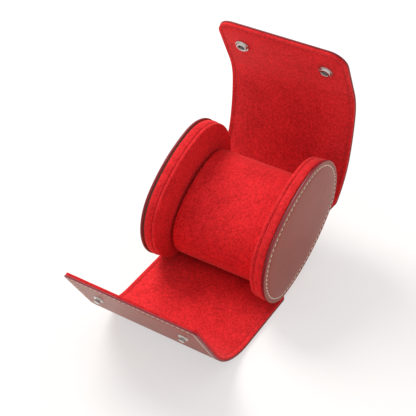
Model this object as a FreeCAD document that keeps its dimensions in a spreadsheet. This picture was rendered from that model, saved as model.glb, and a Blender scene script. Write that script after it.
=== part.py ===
"""Travel case for one watch: a lined leather strip that wraps round two oval end walls.

Frame: X runs along the spool from the left end wall to the right one, Y to the back, Z up.
The origin lies on the underside of the base, midway along its flat stretch. Millimetres, degrees.
"""

import FreeCAD, Part
import math
import os

doc = FreeCAD.newDocument("watch_case")
sheet = doc.addObject("Spreadsheet::Sheet", "Dims")

DIMENSIONS = {
    # strip of leather and lining
    "strip_width": 86.0,
    "leather_thick": 1.0,
    "lining_thick": 1.6,
    "board_thick": 0.8,
    "board_margin": 4.0,
    "board_hinge_margin": 1.5,
    "waist_inset": 4.0,
    "waist_taper": 9.0,
    "tab_reach": 7.0,
    "hinge_gap": 0.3,
    "front_corner": 3.0,
    "back_corner": 11.0,
    # bends of the strip, from the front free end to the back free end
    "front_bend_angle": 60.5,
    "rise_angle": 38.0,
    "back_low_angle": 42.0,
    "back_mid_angle": 11.5,
    "back_top_angle": 25.5,
    "wrap_clear": 0.5,
    # oval end walls
    "oval_long": 93.6,
    "oval_short": 69.4,
    "oval_end_share": 0.471182,
    "oval_tilt": 26.3,
    "panel_thick": 1.4,
    "panel_trim": 2.2,
    "wall_board_thick": 0.8,
    "wall_board_inset": 1.4,
    "rim_thick": 5.6,
    "rim_inset": 0.4,
    "disc_thick": 2.6,
    "disc_inset": 0.6,
    "disc_round": 1.1,
    # watch cushion
    "cushion_end_margin": 9.8,
    "cushion_side_margin": 9.2,
    "cushion_end_share": 0.44,
    "cushion_seat": 0.3,
    "cushion_end_gap": 0.9,
    "cushion_skin": 1.2,
    "foam_wall": 10.0,
    "cushion_crown": 0.6,
    "cushion_round": 2.2,
    # snap fasteners
    "snap_margin": 14.9,
    "socket_set": 18.906,
    "stud_flange_radius": 3.2,
    "stud_flange_thick": 0.6,
    "stud_neck_radius": 1.5,
    "stud_neck_height": 1.1,
    "stud_head_radius": 2.0,
    "stud_head_height": 0.9,
    "stud_head_round": 0.25,
    "rivet_flange_radius": 3.0,
    "rivet_shank_radius": 1.1,
    "rivet_bite": 0.9,
    "rivet_clear": 0.05,
    "socket_radius": 4.6,
    "socket_top_radius": 3.4,
    "socket_height": 2.2,
    "socket_floor": 0.3,
    "socket_bore_radius": 2.4,
    "spring_radius": 2.15,
    "spring_wire_radius": 0.3,
    "spring_depth": 0.7,
    "snap_clear": 0.2,
    "cap_radius": 5.0,
    "cap_thick": 1.1,
    "cap_round": 0.8,
    "cap_shank_radius": 1.4,
}
# Course of the lining's inner face, its bending lines and its studs, as shares of a mean width of the end walls
COURSE_SHARES = {
    "front_tip_share": 0.4740148,
    "front_bend_radius_share": 0.4454597,
    "flat_front_share": 0.5756710,
    "flat_back_share": 0.1956596,
    "rise_radius_share": 0.1142204,
    "rise_share": 0.4309537,
    "back_low_radius_share": 0.5482581,
    "back_mid_radius_share": 1.7133067,
    "back_top_radius_share": 0.4797259,
    "front_hinge_start_share": 0.1130782,
    "front_hinge_pitch_share": 0.1884637,
    "front_tip_hinge_share": 0.3369503,
    "back_hinge_lead_share": 0.0331239,
    "back_mid_hinge_share": 0.1918903,
    "axis_back_share": 0.1256425,
    "stud_set_share": 0.2569960,
}
CELLS = {alias: str(value) for alias, value in DIMENSIONS.items()}
CELLS["oval_mean"] = "=(3 * oval_long + oval_short) / 4"
for name, share in COURSE_SHARES.items():
    CELLS[name.removesuffix("_share")] = f"={share} * oval_mean"
CELLS["snap_spacing"] = "=strip_width - 2 * snap_margin"
CELLS["oval_end_radius"] = "=oval_end_share * oval_short"
CELLS["cushion_long"] = "=oval_long - 2 * cushion_end_margin"
CELLS["cushion_short"] = "=oval_short - 2 * cushion_side_margin"
CELLS["cushion_end_radius"] = "=cushion_end_share * cushion_short"
for row, (alias, cell) in enumerate(CELLS.items(), start=1):
    sheet.set(f"A{row}", alias)
    sheet.set(f"B{row}", cell)
    sheet.setAlias(f"B{row}", alias)
doc.recompute()


def dim(alias):
    return float(sheet.get(alias))


def turn(alias):
    return math.radians(dim(alias))


V2 = lambda y, z: FreeCAD.Vector(y, z, 0)
UP = V2(0, 1)
AXIS = FreeCAD.Vector(0, 0, 1)
NODES = []


def keep(item):
    NODES.append(item)
    return item


# Course of the strip

STRIP_THICK = dim("leather_thick") + dim("lining_thick")
STRAIGHT_RUNS = {
    "front_tip": dim("front_tip"),
    "flat": dim("flat_front") + dim("flat_back"),
    "rise": dim("rise"),
    "back_tip": 0.0,
}
RUN_ORDER = "front_tip front_bend flat rise_bend rise back_low back_mid back_top back_tip".split()
BEND_SIZES = {
    "front_bend": "front_bend",
    "rise_bend": "rise",
    "back_low": "back_low",
    "back_mid": "back_mid",
    "back_top": "back_top",
}


def run_of(name):
    """Length and bend of one run of the strip."""
    if name in STRAIGHT_RUNS:
        return STRAIGHT_RUNS[name], 0.0
    bend = turn(BEND_SIZES[name] + "_angle")
    return dim(BEND_SIZES[name] + "_radius") * bend, bend


def heading(angle):
    return V2(math.cos(angle), math.sin(angle))


def right_of(angle):
    return V2(math.sin(angle), -math.cos(angle))


def advance(point, angle, length, bend, whole):
    """Point and heading after a length of a run that bends evenly over its whole length."""
    if bend == 0:
        return point + heading(angle) * length, angle
    radius = whole / bend
    after = angle + length / radius
    centre = point - right_of(angle) * radius
    return centre + right_of(after) * radius, after


def lay_course():
    """Each run's start, heading, length and bend, with the flat run lying at the lining's height."""
    angle = -turn("front_bend_angle")
    point = V2(0, 0)
    course = {}
    for name in RUN_ORDER:
        length, bend = run_of(name)
        course[name] = [point, angle, length, bend]
        point, angle = advance(point, angle, length, bend, length)
    shift = V2(-dim("flat_front"), STRIP_THICK) - course["flat"][0]
    for run in course.values():
        run[0] = run[0] + shift
    return course


COURSE = lay_course()
STARTS = {}
STRIP_LENGTH = 0.0
for name in RUN_ORDER:
    STARTS[name] = STRIP_LENGTH
    STRIP_LENGTH += COURSE[name][2]
SLACK = 1e-9


def at(s):
    """Point on the inner face and heading there, at distance s from the front free end."""
    name = [run for run in RUN_ORDER if STARTS[run] <= s + SLACK][-1]
    point, angle, length, bend = COURSE[name]
    return advance(point, angle, s - STARTS[name], bend, length)


def on_strip(s, depth):
    point, angle = at(s)
    return point + right_of(angle) * depth


def strip_edges(s_from, s_to, depth):
    """Lines and arcs that follow the strip at a depth below its inner face."""
    edges = []
    for name in RUN_ORDER:
        point, angle, length, bend = COURSE[name]
        low = max(s_from, STARTS[name])
        high = min(s_to, STARTS[name] + length)
        if high - low < SLACK:
            continue
        if bend == 0:
            edges.append(Part.LineSegment(on_strip(low, depth), on_strip(high, depth)))
        else:
            ends = [on_strip(low, depth), on_strip((low + high) / 2, depth), on_strip(high, depth)]
            edges.append(Part.Arc(*ends))
    return edges


def slice_outline(s_from, s_to, depth_from, depth_to):
    """Closed outline of a stretch of the strip between two depths."""
    edges = strip_edges(s_from, s_to, depth_from) + strip_edges(s_from, s_to, depth_to)
    for s in (s_from, s_to):
        edges.append(Part.LineSegment(on_strip(s, depth_from), on_strip(s, depth_to)))
    return edges


# Oval outlines of the end walls and the cushion

WALL_LOW = (dim("oval_long") / 2 - dim("oval_end_radius")) * math.sin(turn("oval_tilt")) + dim("oval_end_radius")
WALL_CENTRE = V2(dim("axis_back"), STRIP_THICK + WALL_LOW)


def tilted(centre, u, v):
    c = math.cos(turn("oval_tilt"))
    s = math.sin(turn("oval_tilt"))
    return centre + V2(c * u - s * v, s * u + c * v)


def oval_parts(long, short, end_radius):
    """Offset of the end arcs' centres, and radius and offset of the long sides' arcs."""
    a = long / 2
    b = short / 2
    side_radius = (a * a + b * b - 2 * a * end_radius) / (2 * (b - end_radius))
    return a - end_radius, side_radius, side_radius - b


def oval_outline(centre, long, short, end_radius, inset=0.0, trim=0.0):
    """Four arcs of an oval, shrunk by inset. Trim cuts its lower side back further."""
    end_offset, side_radius, side_offset = oval_parts(long, short, end_radius)
    r = end_radius - inset
    upper = side_radius - inset
    lower = side_radius - inset - trim
    span = math.hypot(end_offset, side_offset)

    def join(radius):
        """Where a side arc meets an end arc, as an angle at the side's centre."""
        cosine = (span * span + radius * radius - r * r) / (2 * span * radius)
        return math.atan2(end_offset, side_offset) + math.acos(min(1.0, cosine))

    def side(radius, sign, angle):
        return tilted(centre, radius * math.sin(angle), sign * (radius * math.cos(angle) - side_offset))

    top = join(upper)
    low = join(lower)
    edges = [
        Part.Arc(side(upper, 1, -top), side(upper, 1, 0), side(upper, 1, top)),
        Part.Arc(side(lower, -1, -low), side(lower, -1, 0), side(lower, -1, low)),
    ]
    for way in (-1, 1):
        middle = tilted(centre, way * (end_offset + r), 0)
        edges.append(Part.Arc(side(upper, 1, way * top), middle, side(lower, -1, way * low)))
    return edges


WALL_SIZES = [dim(name) for name in ("oval_long", "oval_short", "oval_end_radius")]


def wall_outline(inset=0.0, trim=0.0):
    return oval_outline(WALL_CENTRE, *WALL_SIZES, inset=inset, trim=trim)


def oval_distance(point, centre, long, short, end_radius):
    """Distance of a point outside an oval."""
    end_offset, side_radius, side_offset = oval_parts(long, short, end_radius)
    d = point - centre
    c = math.cos(turn("oval_tilt"))
    s = math.sin(turn("oval_tilt"))
    u = abs(c * d.x + s * d.y)
    v = abs(c * d.y - s * d.x)
    if math.atan2(u, v + side_offset) < math.atan2(end_offset, side_offset):
        return math.hypot(u, v + side_offset) - side_radius
    return math.hypot(u - end_offset, v) - end_radius


def wall_distance(point):
    return oval_distance(point, WALL_CENTRE, *WALL_SIZES)


# Bending lines and closed angles

ORIGIN_AT = STARTS["flat"] + dim("flat_front")
FRONT_HINGES = [ORIGIN_AT - dim("front_hinge_start") - i * dim("front_hinge_pitch") for i in range(4)]
FRONT_HINGES.append(dim("front_tip_hinge"))
BACK_HINGES = [
    STARTS["back_low"] - dim("back_hinge_lead"),
    STARTS["back_mid"],
    STARTS["back_mid"] + dim("back_mid_hinge"),
    STARTS["back_tip"],
]
SAMPLES = 40
HALVINGS = 45
LEAST_TURN = math.radians(-45)
MOST_TURN = math.radians(75)


def turned(point, centre, angle):
    d = point - centre
    c = math.cos(angle)
    s = math.sin(angle)
    return centre + V2(c * d.x - s * d.y, s * d.x + c * d.y)


def moved(point, moves):
    """A point carried by a chain of closed bending lines, the outermost first."""
    for centre, angle in reversed(moves):
        point = turned(point, centre, angle)
    return point


def solve_turn(clear_at):
    """Largest turn that still leaves the clearance."""
    low, high = LEAST_TURN, MOST_TURN
    for step in range(HALVINGS):
        middle = (low + high) / 2
        low, high = (middle, high) if clear_at(middle) > 0 else (low, middle)
    return low


def stretch(s_from, s_to):
    return [at(s_from + (s_to - s_from) * i / SAMPLES)[0] for i in range(SAMPLES + 1)]


def wrap(hinges, end, way):
    """Turns each stretch inwards until it lies on the end walls with the wrap clearance."""
    moves = []
    for s_from, s_to in zip(hinges, hinges[1:] + [end]):
        points = stretch(s_from, s_to)
        centre = at(s_from)[0]

        def clear_at(angle):
            trial = moves + [(centre, way * angle)]
            return min(wall_distance(moved(p, trial)) for p in points) - dim("wrap_clear")

        moves.append((centre, way * solve_turn(clear_at)))
    return moves


FRONT_MOVES = wrap(FRONT_HINGES, 0.0, -1)
SNAP_GAP = dim("stud_flange_thick") + dim("snap_clear") + dim("socket_height")


def close_back():
    """Wraps the lower back flap, then lays its tip over the front tip, parallel to it, on the snaps."""
    moves = wrap(BACK_HINGES[:2], BACK_HINGES[2], 1)
    front_angle = at(0.0)[1] + sum(angle for centre, angle in FRONT_MOVES)
    over = moved(on_strip(dim("stud_set"), STRIP_THICK), FRONT_MOVES)
    away = right_of(front_angle)
    tip_turn = front_angle - at(STRIP_LENGTH)[1] + 2 * math.pi - sum(angle for centre, angle in moves)
    third, fourth = (at(s)[0] for s in BACK_HINGES[2:])

    def trial(angle):
        return moves + [(third, angle), (fourth, tip_turn - angle)]

    def clear_at(angle):
        return (moved(at(STRIP_LENGTH)[0], trial(angle)) - over).dot(away) - SNAP_GAP

    return trial(solve_turn(clear_at))


BACK_MOVES = close_back()


def undone(point, moves):
    """Where a point of the closed tip lies on the open strip."""
    for centre, angle in moves:
        point = turned(point, centre, -angle)
    return point


# The snaps' place on the closed case gives their places on the open tips, and the back tip ends past its sockets

STUD_SPOT = on_strip(dim("stud_set"), STRIP_THICK)
STUD_WAY = right_of(at(dim("stud_set"))[1])
CLOSED_ANGLE = at(0.0)[1] + sum(angle for centre, angle in FRONT_MOVES)
SOCKET_SPOT = undone(moved(STUD_SPOT, FRONT_MOVES) + right_of(CLOSED_ANGLE) * SNAP_GAP, BACK_MOVES)
tip_start, tip_angle = at(STARTS["back_tip"])
tip_way = V2(math.cos(tip_angle), math.sin(tip_angle))
COURSE["back_tip"][2] = (SOCKET_SPOT - tip_start).dot(tip_way) + dim("socket_set")
STRIP_LENGTH = STARTS["back_tip"] + COURSE["back_tip"][2]

# Solids

ORIGIN_AXES = {"YZ": "YZ_Plane", "XZ": "XZ_Plane"}


def sketch_in(body, plane, edges):
    sketch = body.newObject("Sketcher::SketchObject", body.Name + "_sketch")
    support = [f for f in body.Origin.OriginFeatures if f.Role == ORIGIN_AXES[plane]]
    sketch.AttachmentSupport = [(support[0], "")]
    sketch.MapMode = "FlatFace"
    for edge in edges:
        sketch.addGeometry(edge, False)
    return sketch


def new_body(label):
    body = doc.addObject("PartDesign::Body", label)
    body.Label = label
    return body


def pad_in(body, edges, length):
    """Pads an outline in the YZ plane along X. The length is a sheet expression."""
    pad = body.newObject("PartDesign::Pad", body.Name + "_pad")
    pad.Profile = sketch_in(body, "YZ", edges)
    pad.setExpression("Length", length)
    doc.recompute()
    return pad


def slab(label, edges, width, start=None):
    """A body of one padded outline, centred on X = 0 unless a start is given."""
    body = new_body(label)
    pad_in(body, edges, width)
    body.setExpression("Placement.Base.x", start or f"-({width}) / 2")
    return body


def spun(label, points, place, direction):
    """A body turned about its own axis, standing at a place with its axis along a direction."""
    body = new_body(label)
    edges = [Part.LineSegment(a, b) for a, b in zip(points, points[1:] + points[:1])]
    turn_feature = body.newObject("PartDesign::Revolution", label + "_turn")
    turn_feature.Profile = sketch_in(body, "XZ", edges)
    turn_feature.ReferenceAxis = (turn_feature.Profile[0], ["V_Axis"])
    turn_feature.Angle = 360
    body.Placement = FreeCAD.Placement(place, FreeCAD.Rotation(AXIS, direction))
    doc.recompute()
    return body


def cut(label, base, tools):
    base.Label = label + "_blank"
    result = base
    for index, tool in enumerate(tools):
        step = doc.addObject("Part::Cut", f"{label}_cut{index}")
        step.Base = result
        step.Tool = tool
        result = step
    result.Label = label
    doc.recompute()
    return result


def round_corners(body, s, alias):
    """Rounds the two corners at a free end of the strip."""
    pad = body.Tip
    half = dim("strip_width") / 2
    middle = on_strip(s, STRIP_THICK / 2)
    names = []
    for number, edge in enumerate(pad.Shape.Edges, start=1):
        ends = [v.Point for v in edge.Vertexes]
        across = abs(ends[0].x - ends[-1].x) < SLACK
        near = all(math.hypot(p.y - middle.x, p.z - middle.y) < STRIP_THICK for p in ends)
        if across and near and len(ends) == 2:
            names.append(f"Edge{number}")
    rounding = body.newObject("PartDesign::Fillet", body.Name + "_corners")
    rounding.Base = (pad, names)
    rounding.setExpression("Radius", f"Dims.{alias}")
    doc.recompute()
    return body


# Strip: leather and lining in stretches between the bending lines

LINING = dim("lining_thick")
HALF_GAP = dim("hinge_gap") / 2
LAYERS = {"lining": (0.0, LINING), "leather": (LINING, STRIP_THICK)}
FULL = "Dims.strip_width"
WAIST = "Dims.strip_width - 2 * Dims.waist_inset"


def strip_piece(name, s_from, s_to, layer):
    depth_from, depth_to = LAYERS[layer]
    return slab(f"{name}_{layer}", slice_outline(s_from, s_to, depth_from, depth_to), FULL)


def board_piece(name, s_from, s_to, width):
    """Stiffening board in the back of the lining, set in from the edges and the bending lines."""
    depth = LINING - dim("board_thick")
    margins = [dim("board_margin" if s in (0.0, STRIP_LENGTH) else "board_hinge_margin") for s in (s_from, s_to)]
    outline = slice_outline(s_from + margins[0], s_to - margins[1], depth, LINING)
    return slab(name, outline, f"{width} - 2 * Dims.board_margin")


def base_piece(layer):
    """Base stretch: narrow between the end walls, with a full-width tab at its front."""
    depth_from, depth_to = LAYERS[layer]
    s_from = FRONT_HINGES[0] + HALF_GAP
    s_to = BACK_HINGES[0] - HALF_GAP
    body = new_body(f"base_{layer}")
    edges = slice_outline(s_from, s_to, depth_from, depth_to)
    narrow = pad_in(body, edges, WAIST)
    narrow.SideType = "Symmetric"
    tab = pad_in(body, slice_outline(s_from, s_from + dim("tab_reach"), depth_from, depth_to), FULL)
    tab.SideType = "Symmetric"
    doc.recompute()
    return body


def side_notch(name, s, way):
    """Wedge that narrows the foot of the back flap to the base's width."""
    half = dim("strip_width") / 2
    inner = half - dim("waist_inset")
    low, angle = at(s)
    reach = dim("waist_taper")
    below = right_of(angle) * (2 * STRIP_THICK)
    corners = []
    for x, along in ((inner, 0.0), (half, reach), (half + inner, reach), (half + inner, -reach), (inner, -reach)):
        flat = low + heading(angle) * along - below
        corners.append(FreeCAD.Vector(way * x, flat.x, flat.y))
    face = Part.Face(Part.makePolygon(corners + corners[:1]))
    notch = doc.addObject("Part::Feature", name)
    notch.Shape = face.extrude(FreeCAD.Vector(0, below.x, below.y) * 2)
    return notch


base_board = keep(board_piece("base_board", FRONT_HINGES[0], BACK_HINGES[0], f"({WAIST})"))
keep(base_piece("leather"))
keep(cut("base_lining", base_piece("lining"), [base_board]))

front_ends = FRONT_HINGES + [0.0]
for index, (s_near, s_far) in enumerate(zip(front_ends[:-2], front_ends[1:-1])):
    for layer in LAYERS:
        keep(strip_piece(f"front_{index + 1}", s_far + HALF_GAP, s_near - HALF_GAP, layer))

back_ends = BACK_HINGES + [STRIP_LENGTH]
for index, (s_near, s_far) in enumerate(zip(back_ends[:-2], back_ends[1:-1])):
    for layer in LAYERS:
        piece = strip_piece(f"back_{index + 1}", s_near + HALF_GAP, s_far - HALF_GAP, layer)
        if index == 0:
            wedges = [side_notch(f"notch_{layer}_{way + 1}", s_near, way) for way in (-1, 1)]
            piece = cut(f"back_1_{layer}", piece, wedges)
        keep(piece)

# Snap fasteners

CAP_WAY = right_of(at(STRIP_LENGTH)[1])
CAP_SPOT = SOCKET_SPOT + CAP_WAY * STRIP_THICK
SNAP_X = dim("snap_spacing") / 2


def in_space(x, flat):
    return FreeCAD.Vector(x, flat.x, flat.y)


def mirrored(label, source):
    """The left-hand twin of a right-hand piece."""
    twin = doc.addObject("Part::Mirroring", label)
    twin.Label = label
    twin.Source = source
    twin.Normal = FreeCAD.Vector(1, 0, 0)
    doc.recompute()
    return twin


def bore(name, spot, way, alias):
    """A pair of cylinders through the whole strip at the snaps."""
    pair = []
    for side, x in (("right", SNAP_X), ("left", -SNAP_X)):
        drill = doc.addObject("Part::Cylinder", f"{name}_{side}_drill")
        drill.setExpression("Radius", f"Dims.{alias}")
        drill.setExpression("Height", "4 * (Dims.leather_thick + Dims.lining_thick)")
        foot = in_space(x, spot - way * (2 * STRIP_THICK))
        drill.Placement = FreeCAD.Placement(foot, FreeCAD.Rotation(AXIS, in_space(0, way)))
        pair.append(drill)
    return pair


def snap_part(name, points, spot, way):
    right = keep(spun(f"right_{name}", points, in_space(SNAP_X, spot), in_space(0, way)))
    keep(mirrored(f"left_{name}", right))


shank = dim("rivet_shank_radius")
fit = dim("rivet_clear")
neck_low = dim("stud_flange_thick")
neck_top = neck_low + dim("stud_neck_height")
head_top = neck_top + dim("stud_head_height")
head_round = dim("stud_head_round")
stud_points = [
    V2(0, dim("rivet_bite")),
    V2(shank, dim("rivet_bite")),
    V2(shank, 0),
    V2(dim("stud_flange_radius"), 0),
    V2(dim("stud_flange_radius"), neck_low / 2),
    V2(dim("stud_flange_radius") - neck_low / 2, neck_low),
    V2(dim("stud_neck_radius"), neck_low),
    V2(dim("stud_neck_radius"), neck_top),
    V2(dim("stud_head_radius"), neck_top + head_round),
    V2(dim("stud_head_radius"), head_top - 2 * head_round),
    V2(dim("stud_head_radius") - head_round, head_top - head_round / 2),
    V2(dim("stud_head_radius") / 2, head_top),
    V2(0, head_top),
]
snap_part("snap_stud", stud_points, STUD_SPOT, STUD_WAY)

rivet_top = -dim("leather_thick")
rivet_points = [
    V2(0, rivet_top - dim("board_thick") + fit),
    V2(dim("rivet_flange_radius") - fit, rivet_top - dim("board_thick") + fit),
    V2(dim("rivet_flange_radius") - fit, rivet_top),
    V2(shank - fit, rivet_top),
    V2(shank - fit, dim("rivet_bite") - fit),
    V2(0, dim("rivet_bite") - fit),
]
snap_part("stud_rivet", rivet_points, STUD_SPOT, STUD_WAY)

height = dim("socket_height")
bore_radius = dim("socket_bore_radius")
spring_level = height - dim("spring_depth")
groove = dim("spring_wire_radius") + fit
socket_points = [
    V2(dim("cap_shank_radius"), 0),
    V2(dim("socket_radius"), 0),
    V2(dim("socket_radius"), height / 2),
    V2(dim("socket_top_radius"), height),
    V2(bore_radius, height),
    V2(bore_radius, spring_level + groove),
    V2(dim("spring_radius") + groove, spring_level + groove),
    V2(dim("spring_radius") + groove, spring_level - groove),
    V2(bore_radius, spring_level - groove),
    V2(bore_radius, dim("socket_floor")),
    V2(dim("cap_shank_radius"), dim("socket_floor")),
]
snap_part("snap_socket", socket_points, SOCKET_SPOT, -CAP_WAY)

spring = doc.addObject("Part::Torus", "right_socket_spring")
spring.setExpression("Radius1", "Dims.spring_radius")
spring.setExpression("Radius2", "Dims.spring_wire_radius")
spring_spot = SOCKET_SPOT - CAP_WAY * spring_level
spring.Placement = FreeCAD.Placement(in_space(SNAP_X, spring_spot), FreeCAD.Rotation(AXIS, in_space(0, CAP_WAY)))
spring.Label = "right_socket_spring"
doc.recompute()
keep(spring)
keep(mirrored("left_socket_spring", spring))

cap_round = dim("cap_round")
cap_shank = dim("cap_shank_radius") - fit
cap_points = [
    V2(0, fit - STRIP_THICK - dim("socket_floor")),
    V2(cap_shank, fit - STRIP_THICK - dim("socket_floor")),
    V2(cap_shank, 0),
    V2(dim("cap_radius"), 0),
    V2(dim("cap_radius"), dim("cap_thick") - cap_round),
    V2(dim("cap_radius") - cap_round / 3, dim("cap_thick") - cap_round / 3),
    V2(dim("cap_radius") - cap_round, dim("cap_thick")),
    V2(0, dim("cap_thick")),
]
snap_part("snap_cap", cap_points, CAP_SPOT, CAP_WAY)

# Tips: leather and lining with a board between them, bored for the snaps


def tip_piece(name, s_from, s_to, layer, free_end, corner):
    return round_corners(strip_piece(name, s_from, s_to, layer), free_end, corner)


front_blank = board_piece("front_tip_board", 0.0, FRONT_HINGES[-1], FULL)
front_leather, front_lining = (
    tip_piece("front_tip", 0.0, FRONT_HINGES[-1] - HALF_GAP, layer, 0.0, "front_corner")
    for layer in ("leather", "lining")
)
shank_bores = bore("stud_shank", STUD_SPOT, STUD_WAY, "rivet_shank_radius")
flange_bores = bore("stud_flange", STUD_SPOT, STUD_WAY, "rivet_flange_radius")
keep(cut("front_tip_lining", front_lining, [front_blank]))
keep(cut("front_tip_leather", front_leather, shank_bores))
keep(cut("front_tip_board", front_blank, flange_bores))

back_blank = board_piece("back_tip_board", BACK_HINGES[-1], STRIP_LENGTH, FULL)
back_leather, back_lining = (
    tip_piece("back_tip", BACK_HINGES[-1] + HALF_GAP, STRIP_LENGTH, layer, STRIP_LENGTH, "back_corner")
    for layer in ("leather", "lining")
)
cap_bores = bore("cap_shank", SOCKET_SPOT, CAP_WAY, "cap_shank_radius")
keep(cut("back_tip_lining", back_lining, [back_blank] + cap_bores))
keep(cut("back_tip_leather", back_leather, cap_bores))
keep(cut("back_tip_board", back_blank, cap_bores))

# End walls: from outside to inside a leather panel, a board, a padded band and an inner disc

PANEL_AT = "Dims.strip_width / 2 - Dims.panel_thick"
BOARD_AT = PANEL_AT + " - Dims.wall_board_thick"
RIM_AT = BOARD_AT + " - Dims.rim_thick"
DISC_AT = RIM_AT + " - Dims.disc_thick"


def round_all(body, alias):
    """Rounds every outline edge of a padded body."""
    pad = body.Tip
    names = []
    for number, edge in enumerate(pad.Shape.Edges, start=1):
        ends = [v.Point.x for v in edge.Vertexes]
        if abs(ends[0] - ends[-1]) < SLACK:
            names.append(f"Edge{number}")
    rounding = body.newObject("PartDesign::Fillet", body.Name + "_round")
    rounding.Base = (pad, names)
    rounding.setExpression("Radius", f"Dims.{alias}")
    doc.recompute()
    return body


def foot_outline():
    """Fills the space between the oval and the lining where the strip rises behind the base."""
    reach = dim("oval_long") / 2 - dim("oval_end_radius")
    s_from = ORIGIN_AT + dim("axis_back") - reach * math.cos(turn("oval_tilt"))
    places = [STARTS["rise"] + STRAIGHT_RUNS["rise"] * i / SAMPLES for i in range(SAMPLES)]
    s_to = min(places, key=lambda s: wall_distance(at(s)[0]))
    return strip_edges(s_from, s_to, 0.0) + [Part.LineSegment(at(s_from)[0], at(s_to)[0])]


def wall_pair(name, body):
    keep(body)
    keep(mirrored(f"left_{name}", body))


trim = dim("panel_trim")
wall_pair("end_leather", slab("right_end_leather", wall_outline(trim=trim), "Dims.panel_thick", PANEL_AT))
board_outline = wall_outline(inset=dim("wall_board_inset"), trim=trim)
wall_pair("end_board", slab("right_end_board", board_outline, "Dims.wall_board_thick", BOARD_AT))
rim = slab("right_rim_band", wall_outline(inset=dim("rim_inset")), "Dims.rim_thick", RIM_AT)
pad_in(rim, foot_outline(), "Dims.panel_thick + Dims.wall_board_thick + Dims.rim_thick - Dims.waist_inset")
wall_pair("rim_band", rim)
disc = slab("right_inner_disc", wall_outline(inset=dim("disc_inset")), "Dims.disc_thick", DISC_AT)
wall_pair("inner_disc", round_all(disc, "disc_round"))

# Watch cushion: lofted sleeve with a crown and rounded ends, foam inside, a cap at each end

CUSHION_SIZES = [dim(name) for name in ("cushion_long", "cushion_short", "cushion_end_radius")]
UNDER_CUSHION = stretch(STARTS["flat"], STARTS["back_low"])


def seat_cushion():
    """Lowers the cushion along its short axis until it lies on the lining."""
    low, high = 0.0, dim("oval_short") / 2
    for step in range(HALVINGS):
        drop = (low + high) / 2
        centre = tilted(WALL_CENTRE, 0, -drop)
        gap = min(oval_distance(p, centre, *CUSHION_SIZES) for p in UNDER_CUSHION)
        low, high = (drop, high) if gap > dim("cushion_seat") else (low, drop)
    return tilted(WALL_CENTRE, 0, -low)


CUSHION_CENTRE = seat_cushion()
CUSHION_LENGTH = (
    "Dims.strip_width - 2 * (Dims.panel_thick + Dims.wall_board_thick + Dims.rim_thick"
    " + Dims.disc_thick + Dims.cushion_end_gap)"
)


# Sections of the cushion: along the crown, then round its end, where the sleeve is drawn in more and more
CROWN_SHARES = (0.2, 0.4, 0.6, 0.8)
END_SHARES = ((2.0, 0.0), (1.0, 0.07), (0.4, 0.28), (0.0, 1.0))


def cushion_form(label, skin, length):
    """Oval roll, thickest at its middle, with rounded ends. The skin is the depth below the sleeve's surface."""
    body = new_body(label)
    half = f"({length}) / 2"
    crown = dim("cushion_crown")
    steps = [(f"{share} * {half}", crown * share ** 2) for share in CROWN_SHARES]
    for place, drawn in END_SHARES:
        steps.append((f"({half} - {place} * Dims.cushion_round)", crown + drawn * dim("cushion_round")))
    chain = [(f"-{spot}", drawn) for spot, drawn in reversed(steps)] + [("0 mm", 0.0)] + steps
    sections = []
    for spot, drawn in chain:
        outline = oval_outline(CUSHION_CENTRE, *CUSHION_SIZES, inset=skin + drawn)
        sketch = sketch_in(body, "YZ", outline)
        sketch.setExpression("AttachmentOffset.Base.z", spot)
        sections.append(sketch)
    doc.recompute()
    loft = body.newObject("PartDesign::AdditiveLoft", label + "_loft")
    loft.Profile = sections[0]
    loft.Sections = sections[1:]
    doc.recompute()
    return body


def cap_box(label, way):
    box = doc.addObject("Part::Box", label)
    box.setExpression("Length", "Dims.cushion_skin * 2")
    box.setExpression("Width", "2 * Dims.oval_long")
    box.setExpression("Height", "2 * Dims.oval_long")
    reach = f"({CUSHION_LENGTH}) / 2"
    box.setExpression("Placement.Base.x", f"{reach} - Dims.cushion_skin" if way > 0 else f"-{reach} - Dims.cushion_skin")
    box.setExpression("Placement.Base.y", "-Dims.oval_long")
    box.setExpression("Placement.Base.z", "-Dims.oval_long / 2")
    return box


outer = cushion_form("cushion_sleeve", 0.0, CUSHION_LENGTH)
core_length = f"{CUSHION_LENGTH} - 2 * Dims.cushion_skin"
core = cushion_form("cushion_core", dim("cushion_skin"), core_length)
hollow = oval_outline(CUSHION_CENTRE, *CUSHION_SIZES, inset=dim("cushion_skin") + dim("foam_wall"))
keep(cut("cushion_foam", core, [slab("cushion_hollow", hollow, core_length)]))
boxes = []
for side, way in (("right", 1), ("left", -1)):
    box = cap_box(f"{side}_cap_box", way)
    cap = doc.addObject("Part::Common", f"{side}_cushion_cap")
    cap.Label = f"{side}_cushion_cap"
    cap.Base = outer
    cap.Tool = box
    doc.recompute()
    keep(cap)
    boxes.append(box)
keep(cut("cushion_sleeve", outer, [core] + boxes))

# Checks, bending lines and export

doc.recompute()
for item in doc.Objects:
    if any(word in item.State for word in ("Invalid", "Error")):
        raise RuntimeError(f"{item.Label} did not build: {item.State}")
for item in NODES:
    if item.Shape.isNull() or not item.Shape.isValid() or not item.Shape.Solids:
        raise RuntimeError(f"{item.Label} has no valid solid")

for name, moves, way in (("front", FRONT_MOVES, -1), ("back", BACK_MOVES, 1)):
    for index, (centre, angle) in enumerate(moves, start=1):
        print(f"hinge {name} {index} y {centre.x:.4f} z {centre.y:.4f} turn {math.degrees(way * angle):.4f}")
print(f"snap stud {STUD_SPOT.x:.3f} {STUD_SPOT.y:.3f} socket {SOCKET_SPOT.x:.3f} {SOCKET_SPOT.y:.3f}")
print(f"wall centre {WALL_CENTRE.x:.3f} {WALL_CENTRE.y:.3f} cushion centre {CUSHION_CENTRE.x:.3f} {CUSHION_CENTRE.y:.3f}")

os.makedirs("parts", exist_ok=True)
for item in NODES:
    item.Shape.exportStep(f"parts/{item.Label}.step")
print(len(NODES), "pieces")
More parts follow.
